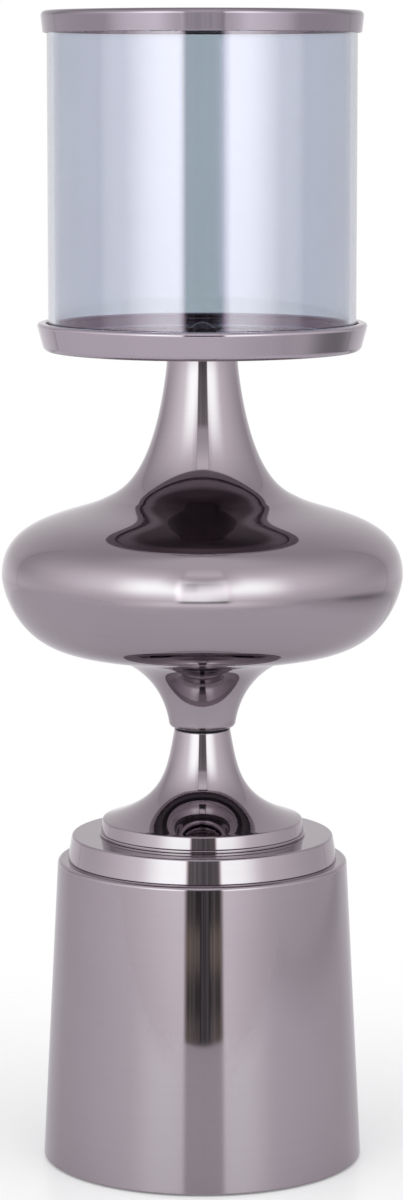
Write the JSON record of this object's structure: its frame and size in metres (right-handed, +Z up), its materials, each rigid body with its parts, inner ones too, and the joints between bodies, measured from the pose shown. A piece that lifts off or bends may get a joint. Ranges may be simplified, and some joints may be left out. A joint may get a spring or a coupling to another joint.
{
  "type": "hurricane candle holder",
  "caption": "Free-standing candle holder: drum base, trumpet stem, wide hollow bulb with a thin neck, and a round tray that holds a lift-off banded glass cylinder.",
  "frame": {"origin": "centre of the felt pad's underside, on the floor", "axes": "+Z up along the turning axis; X and Y are free because the object is round, +Y points away from the pictured side"},
  "size_m": [0.2088, 0.2088, 0.6],
  "materials": {
    "nickel": "polished smoky black nickel plating",
    "smoked_glass": "clear, lightly smoked",
    "zinc": "zinc plated",
    "bush": "turned black nylon",
    "clear": "clear silicone",
    "board": "dark hardboard",
    "felt": "black felt"
  },
  "bodies": {
    "stand": {"felt_pad": "felt", "bottom_cover": "board", "base_shell": "nickel", "step_disc": "nickel", "foot_plate": "nickel", "trumpet_stem": "nickel", "collar_bush": "bush", "bulb_lower": "nickel", "bulb_upper": "nickel", "neck_plug": "zinc", "tray": "nickel", "tray_washer": "zinc", "cap_nut": "zinc", "glass_cushion": "clear", "tie_rod": "zinc", "clamp_plate": "zinc", "lock_washer": "zinc", "base_nut": "zinc"},
    "shade": {"glass_shade": "smoked_glass", "rim_liner": "clear", "rim_band": "nickel"}
  },
  "joints": [
    {"name": "shade_lift", "type": "slide", "parent": "stand", "child": "shade", "axis": [0, 0, 1], "range_m": [0, 0.2]}
  ]
}
